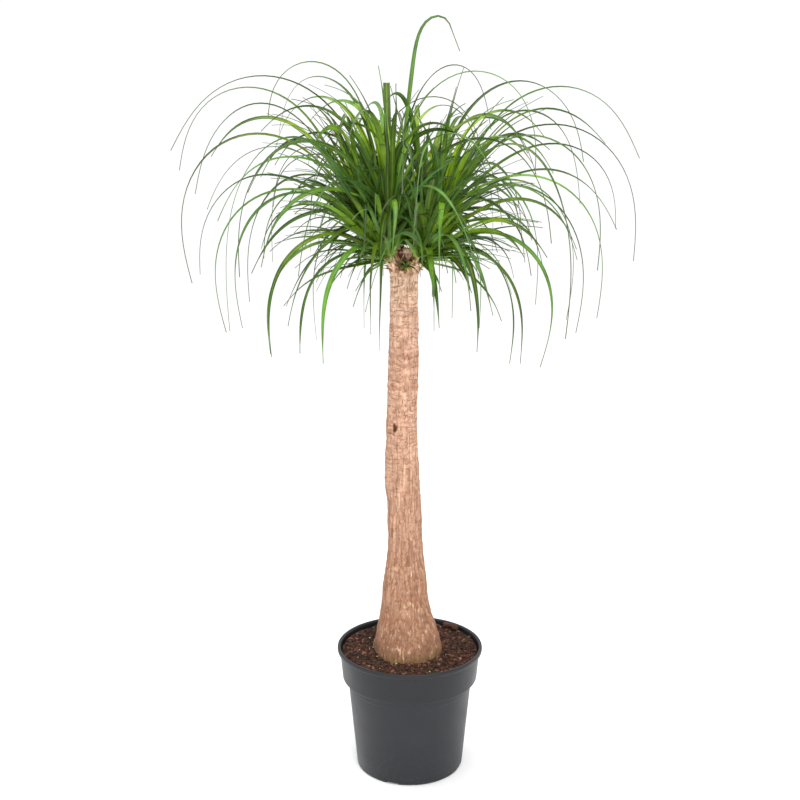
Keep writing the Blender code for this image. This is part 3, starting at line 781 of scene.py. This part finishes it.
class LeafBundle:
    """Leaf blades gathered into one mesh, each a closed thin strap with a folded section."""

    ACROSS = (-1.0, -0.5, 0.0, 0.5, 1.0)

    def __init__(self):
        self.points, self.faces, self.under, self.growth = [], [], [], []

    def add(self, path, width, slender, tone, youth, roll=0.0, twist=0.0, cut_square=False):
        """One blade down a path; a slender one (up to 1) draws out sooner into a drying, hair-fine tip."""
        spots, directions, sides = path
        first = len(self.points)
        last = len(spots) - 1
        for i, (spot, direction, side) in enumerate(zip(spots, directions, sides)):
            along = i / last
            reach = along * 0.35 if cut_square else along
            broad = 1.0 + 0.50 * max(0.0, 1.0 - along / 0.05)
            narrowed = (1.0 - reach ** (1.9 - 0.7 * slender)) ** (1.0 + slender)
            half = max(width * broad * narrowed, LEAF_TIP_WIDTH) / 2
            fold = math.radians(LEAF_FOLD) * (1.0 - 0.85 * along)
            upper = side.cross(direction) * -1.0
            turn = roll + twist * along
            level = side * math.cos(turn) + upper * math.sin(turn)
            face = upper * math.cos(turn) - side * math.sin(turn)
            thick = LEAF_THICKNESS * (1.0 - 0.3 * along)
            dried = reach * (0.76 + 0.24 * slender)
            for across in self.ACROSS:
                self.points.append(spot + level * (half * across * math.cos(fold))
                                   + face * (half * abs(across) * math.sin(fold)))
                self.growth.append((tone, youth, dried, across * 0.5 + 0.5))
            for across in self.ACROSS[1:-1]:
                self.points.append(spot + level * (half * across * math.cos(fold))
                                   + face * (half * abs(across) * math.sin(fold) - thick))
                self.growth.append((tone, youth, dried, across * 0.5 + 0.5))
        section = [0, 1, 2, 3, 4, 7, 6, 5]
        for i in range(last):
            row, after = first + 8 * i, first + 8 * (i + 1)
            for k in range(8):
                a, b = section[k], section[(k + 1) % 8]
                self.faces.append((row + a, after + a, after + b, row + b))
                self.under.append(1 if k >= 4 else 0)
        self.faces.append(tuple(first + k for k in section))
        self.faces.append(tuple(first + 8 * last + k for k in reversed(section)))
        self.under += [1, 1]

    def mesh(self, name):
        made = bpy.data.meshes.new(name)
        made.from_pydata(self.points, [], self.faces)
        layer = made.color_attributes.new("growth", "FLOAT_COLOR", "POINT")
        layer.data.foreach_set("color", [c for growth in self.growth for c in growth])
        made.polygons.foreach_set("material_index", self.under)
        made.shade_smooth()
        made.set_sharp_from_angle(angle=math.radians(60))
        return made


def leaf_finish(name, roughness, shades, young, foot_colour, tip_colour):
    """A leaf face: shades from leaf to leaf, yellow-green when young, pale foot, drying tip, fine veins."""
    material, tree, shader, place = new_finish(name, roughness, 0.22)
    growth = add_node(tree, "ShaderNodeAttribute", {}, attribute_name="growth")
    parts = add_node(tree, "ShaderNodeSeparateColor", {"Color": growth.outputs["Color"]})
    tone, youth, along = (parts.outputs[part] for part in ("Red", "Green", "Blue"))
    across = growth.outputs["Alpha"]
    mature = shaded(tree, tone, (0.0, shades[0]), (0.5, shades[1]), (1.0, shades[2]))
    fresh = laid_over(tree, times(tree, youth, ranged(tree, along, 0.10, 0.54, 1.0, 0.04)), mature, young)
    varied = scaled(tree, fresh, ranged(tree, soft_noise(tree, place, 24, 3.0), 0.3, 0.7, 0.62, 1.36))
    ribs = add_node(tree, "ShaderNodeMath", {0: times(tree, across, 56.0)}, operation="SINE").outputs[0]
    veined = laid_over(tree, ranged(tree, ribs, -1.0, 1.0, 0.0, 0.12), varied, "#5f8a2c")
    middle = add_node(tree, "ShaderNodeMath", {0: across, 1: 0.5, 2: 0.09}, operation="COMPARE").outputs[0]
    ribbed = laid_over(tree, times(tree, middle, 0.30), veined, "#8bb53a")
    footed = laid_over(tree, ranged(tree, along, 0.085, 0.0, 0.0, 0.75), ribbed, foot_colour)
    tipped = laid_over(tree, ranged(tree, along, 0.58, 0.94, 0.0, 0.78), footed, tip_colour)
    join(tree, tipped, shader, "Base Color")
    dented(tree, shader, ribs, 0.25, 0.2)
    return material


# Waxy cuticle over green leaf: a satin upper face with long highlights, a duller, greyer underside, and
# parallel veins that run the blade's whole length.
leaf_face = leaf_finish("waxy_leaf_face", 0.38, ("#14240d", "#2b4b18", "#4e7f2a"), "#c2e61f", "#9aba2e",
                        "#585f49")
leaf_back = leaf_finish("leaf_underside", 0.55, ("#1f2f19", "#355428", "#547f41"), "#a4cf30", "#9ab83e",
                        "#5f6651")
leaf_finishes = [leaf_face, leaf_back]
leaf_draw = random.Random(5)

for number, row in enumerate(LEAVES, 1):
    head, heading, rise, length, bend, late, straight = row
    bundle = LeafBundle()
    path = leaf_path(leaf_foot(head, heading, rise), heading, rise, length, bend, late,
                     0.0, leaf_draw.choice((-1, 1)) * (13 - 22 * (length - 0.18)), straight=straight)
    slender = eased(length, 0.24, 0.44) / max(1.0, late - 1.0)
    bundle.add(path, LEAF_WIDTH, slender, leaf_draw.random() ** 1.4,
               0.35 * leaf_draw.random(), 0.0, leaf_draw.choice((-1, 1)) * leaf_draw.uniform(0.8, 1.9))
    name = "leaf_%02d" % number
    add_piece("arching_" + name, bundle.mesh(name + "_blade"), leaf_finishes, [name])
for number, row in enumerate(CUT_LEAVES, 1):
    head, heading, rise, length, bend, late, straight = row
    bundle = LeafBundle()
    path = leaf_path(leaf_foot(head, heading, rise), heading, rise, length, bend, late, steps=14,
                     straight=straight)
    bundle.add(path, LEAF_WIDTH, 0.0, 0.2, 0.1, cut_square=True)
    name = "cut_leaf_%d" % number
    add_piece("square_" + name, bundle.mesh(name + "_blade"), leaf_finishes, [name])


# ---- Crown ----
# The rest of the leaves, in a spiral round each head: young ones upright in the middle, older ones
# further out and lower, until the oldest hang. They fill the dome that the outer leaves mark out.
GOLDEN_ANGLE = 137.508
CROWN = {"main": 38, "left": 10, "low_left": 10, "right": 20, "low_right": 27, "back_left": 12,
         "back_right": 15}
THROAT_HALF_WIDTH = 0.034
THROAT_TOP_Z = 0.845


def fits(path, lowest):
    """A leaf stays in the crown's dome, above its lowest level and out of the way before the trunk."""
    low, high = cad_box
    for spot in path[0]:
        if not (low[0] + 0.008 < spot.x < high[0] - 0.008 and low[1] + 0.004 < spot.y < high[1] - 0.004):
            return False
        before_trunk = abs(spot.x + 0.010) < THROAT_HALF_WIDTH and spot.y < -0.010
        if spot.z < lowest or (before_trunk and spot.z < THROAT_TOP_Z):
            return False
        if abs(spot.x - STUB_TOP.x) < STUB_RADIUS and spot.y < STUB_TOP.y and spot.z < STUB_TOP.z + 0.006:
            return False
    return True


def aimed(direction):
    """Rise and heading, in degrees, of a direction."""
    rise = math.degrees(math.asin(max(-1.0, min(1.0, direction.z))))
    return rise, math.degrees(math.atan2(direction.y, direction.x))


for head, count in CROWN.items():
    foot, axis, turn = head_frame(head)
    bundle = LeafBundle()
    for i in range(count):
        age = (i + 0.5) / count
        polar = math.radians(8 + 90 * age ** 1.1 + leaf_draw.gauss(0, 6))
        spin = math.radians(GOLDEN_ANGLE * i + leaf_draw.gauss(0, 8))
        radial = turn @ Vector((math.cos(spin), math.sin(spin), 0.0))
        rise, heading = aimed(axis * math.cos(polar) + radial * math.sin(polar))
        start = foot + axis * (0.004 + 0.026 * (1 - age)) + radial * (HEART_RADIUS - 0.002 + 0.003 * age)
        length = 0.29 + 0.14 * eased(age, 0.0, 0.30) - 0.19 * eased(age, 0.50, 1.0)
        length *= leaf_draw.uniform(0.62, 1.10) * (0.72 if foot.z < 0.88 else 1.0)
        bend = max(20.0, rise + leaf_draw.uniform(55, 92) * (0.60 + 0.40 * eased(age, 0.0, 0.3)))
        late = 1.6 - 0.7 * age + leaf_draw.uniform(-0.1, 0.1)
        sway, wave = leaf_draw.gauss(0, 9), leaf_draw.gauss(0, 6 + 6 * age)
        width = LEAF_WIDTH * leaf_draw.uniform(0.80, 1.25)
        tone, twist = leaf_draw.random() ** 1.3, leaf_draw.gauss(0, 1.1)
        hanging = leaf_draw.random() < (0.50 if foot.z < 0.88 else 0.20)
        lowest = leaf_draw.uniform(0.70, 0.83) if hanging else leaf_draw.uniform(0.82, 0.92)
        for _ in range(14):
            path = leaf_path(start, heading, rise, length, bend, late, sway, wave, 30)
            if fits(path, lowest):
                youth = 0.75 * (1 - eased(age, 0.05, 0.40)) + 0.40 * leaf_draw.random() ** 2
                slender = (0.15 + 0.70 * eased(age, 0.10, 0.50)) * eased(length, 0.18, 0.40)
                bundle.add(path, width, slender, tone, youth, leaf_draw.gauss(0, 0.15), twist)
                break
            length *= 0.90
    add_piece("crown_" + head, bundle.mesh("crown_" + head), leaf_finishes)


# ---- Hearts ----
# The growing point of each head: the newest leaves, still upright, closely clasped and yellow-green,
# standing in a bulb of overlapping pale leaf feet.
YOUNG_LEAVES = 38
for head in HEADS:
    foot, axis, turn = head_frame(head)
    bundle = LeafBundle()
    for i in range(YOUNG_LEAVES):
        age = i / (YOUNG_LEAVES - 1)
        spin = math.radians(GOLDEN_ANGLE * i)
        radial = turn @ Vector((math.cos(spin), math.sin(spin), 0.0))
        polar = math.radians(3 + 50 * age + leaf_draw.gauss(0, 3))
        rise, heading = aimed(axis * math.cos(polar) + radial * math.sin(polar))
        length = leaf_draw.uniform(0.13, 0.24) * (1.0 - 0.25 * age)
        bend = leaf_draw.uniform(10, 70)
        start = foot + axis * (0.022 - 0.026 * age) + radial * (0.003 + (HEART_RADIUS - 0.003) * age)
        path = leaf_path(start, heading, rise, length, bend, 1.8, 0.0, leaf_draw.gauss(0, 6), 20)
        bundle.add(path, LEAF_WIDTH * leaf_draw.uniform(0.75, 1.10), 0.3, leaf_draw.random() ** 1.3,
                   1.0 - 0.8 * eased(age, 0.08, 0.45), leaf_draw.gauss(0, 0.2), leaf_draw.gauss(0, 0.5))
    add_piece("young_leaves_" + head, bundle.mesh("young_leaves_" + head), leaf_finishes,
              ["heart_" + head])


# ---- Throat ----
# Where the shoots leave the trunk: short side sprouts between them, the newest at the front just under
# the stub, and the papery brown scales that are left of leaves long gone.
SPROUTS = (
    (Vector((-0.007, -0.025, 0.840)), 9, 0.014, 0.034),
    (Vector((-0.034, -0.022, 0.850)), 16, 0.060, 0.170),
    (Vector((0.014, -0.021, 0.850)), 24, 0.060, 0.170),
    (Vector((-0.038, -0.002, 0.852)), 12, 0.060, 0.180),
    (Vector((0.018, 0.002, 0.852)), 18, 0.060, 0.180),
    (Vector((-0.024, -0.012, 0.882)), 14, 0.080, 0.180),
    (Vector((-0.012, 0.022, 0.872)), 24, 0.080, 0.200),
    (Vector((-0.030, 0.020, 0.880)), 14, 0.080, 0.200),
    (Vector((0.008, 0.020, 0.880)), 22, 0.080, 0.200),
)
bundle = LeafBundle()
for spot, count, shortest, longest in SPROUTS:
    away = Vector((spot.x + 0.010, spot.y, 0.0)).normalized()
    for i in range(count):
        spin = math.radians(GOLDEN_ANGLE * i)
        polar = math.radians(12 + 84 * i / count)
        radial = Vector((math.cos(spin), math.sin(spin), 0.0))
        axis = (away * 0.5 + Vector((0.0, 0.0, 1.0))).normalized()
        rise, heading = aimed((axis * math.cos(polar) + radial * math.sin(polar)).normalized())
        length = leaf_draw.uniform(shortest, longest)
        path = leaf_path(spot, heading, rise, length, max(10.0, rise + leaf_draw.uniform(-10, 75)), 1.1,
                         0.0, leaf_draw.gauss(0, 9), 16)
        if length < 0.04 or fits(path, 0.0):
            bundle.add(path, LEAF_WIDTH * min(1.0, 0.35 + 4.0 * length), 0.4, leaf_draw.random(),
                       0.75 * leaf_draw.random(), 0.0, leaf_draw.gauss(0, 0.6))
add_piece("throat_sprouts", bundle.mesh("throat_sprouts"), leaf_finishes)

bundle = LeafBundle()
TRUNK_SCALES = 54
SHOOT_SCALES = 22
scale_roots = []
for i in range(TRUNK_SCALES):
    turn = math.radians(GOLDEN_ANGLE * i)
    outward = Vector((math.cos(turn), math.sin(turn), 0.0))
    level = 0.829 + 0.022 * i / TRUNK_SCALES
    middle, radius = trunk_section(level)
    scale_roots.append((middle + outward * (radius * 0.96), outward))
for head in HEADS:
    foot, axis, _ = head_frame(head)
    knee = foot - axis * SHOOT_COLLAR
    for i in range(SHOOT_SCALES):
        turn = math.radians(GOLDEN_ANGLE * i)
        outward = Vector((math.cos(turn), math.sin(turn), 0.0))
        up_shoot = root.lerp(knee, 0.35 + 0.62 * i / SHOOT_SCALES)
        scale_roots.append((up_shoot + outward * SHOOT_RADIUS * 0.9, outward))
for spot, outward in scale_roots:
    heading = math.degrees(math.atan2(outward.y, outward.x)) + leaf_draw.gauss(0, 10)
    path = leaf_path(spot, heading, leaf_draw.uniform(30, 80), leaf_draw.uniform(0.008, 0.020),
                     leaf_draw.uniform(-30, 60), 1.0, 0.0, 0.0, 6)
    bundle.add(path, leaf_draw.uniform(0.007, 0.011), 0.0, leaf_draw.random(), 0.0)

# Dead leaf feet: papery, matt and curling, in browns from straw to dark tan.
papery, tree, shader, place = new_finish("papery_dead_scales", 0.85, 0.2)
growth = add_node(tree, "ShaderNodeAttribute", {}, attribute_name="growth")
tone = add_node(tree, "ShaderNodeSeparateColor", {"Color": growth.outputs["Color"]}).outputs["Red"]
straw = shaded(tree, tone, (0.0, "#4a3019"), (0.5, "#8a6240"), (1.0, "#c39a6c"))
join(tree, straw, shader, "Base Color")
add_piece("dead_scales", bundle.mesh("dead_scales"), [papery, papery])


# ---- Studio ----
# A pale seamless floor, broad soft light from the front and above, and a camera at standing height.
floor_mesh = bpy.data.meshes.new("floor")
floor_mesh.from_pydata([(-8, -8, 0), (8, -8, 0), (8, 8, 0), (-8, 8, 0)], [], [(0, 1, 2, 3)])
floor = bpy.data.objects.new("floor", floor_mesh)
bpy.context.scene.collection.objects.link(floor)
paper, tree, shader, place = new_finish("white_paper_floor", 0.9, 0.0)
shader.inputs["Base Color"].default_value = (0.97, 0.97, 0.97, 1.0)
floor_mesh.materials.append(paper)

world = bpy.data.worlds.new("studio")
bpy.context.scene.world = world
world.use_nodes = True
backdrop = world.node_tree.nodes["Background"]
backdrop.inputs["Color"].default_value = (1.0, 1.0, 1.0, 1.0)
backdrop.inputs["Strength"].default_value = 1.04


def softbox(name, place, aim, size, power):
    light = bpy.data.lights.new(name, "AREA")
    light.size = size
    light.energy = power
    lamp = bpy.data.objects.new(name, light)
    lamp.location = place
    lamp.rotation_euler = (Vector(aim) - Vector(place)).to_track_quat("-Z", "Y").to_euler()
    bpy.context.scene.collection.objects.link(lamp)


softbox("key_softbox", (0.9, -2.4, 2.6), (0.0, 0.0, 0.7), 1.6, 55)
softbox("top_softbox", (-0.6, 0.2, 3.2), (0.0, 0.0, 0.6), 1.8, 45)
softbox("low_fill", (-0.5, -2.3, 0.75), (0.0, 0.0, 0.8), 1.2, 7)

CAMERA_PLACE = (-0.0163, -1.9, 1.05)
CAMERA_DOWN = 12.54
camera_data = bpy.data.cameras.new("camera")
camera_data.lens = 54.9
camera_data.sensor_width = 36.0
camera = bpy.data.objects.new("camera", camera_data)
camera.location = CAMERA_PLACE
camera.rotation_euler = (math.radians(90 - CAMERA_DOWN), 0.0, 0.0)
bpy.context.scene.collection.objects.link(camera)
bpy.context.scene.camera = camera
bpy.context.scene.view_settings.view_transform = "Standard"
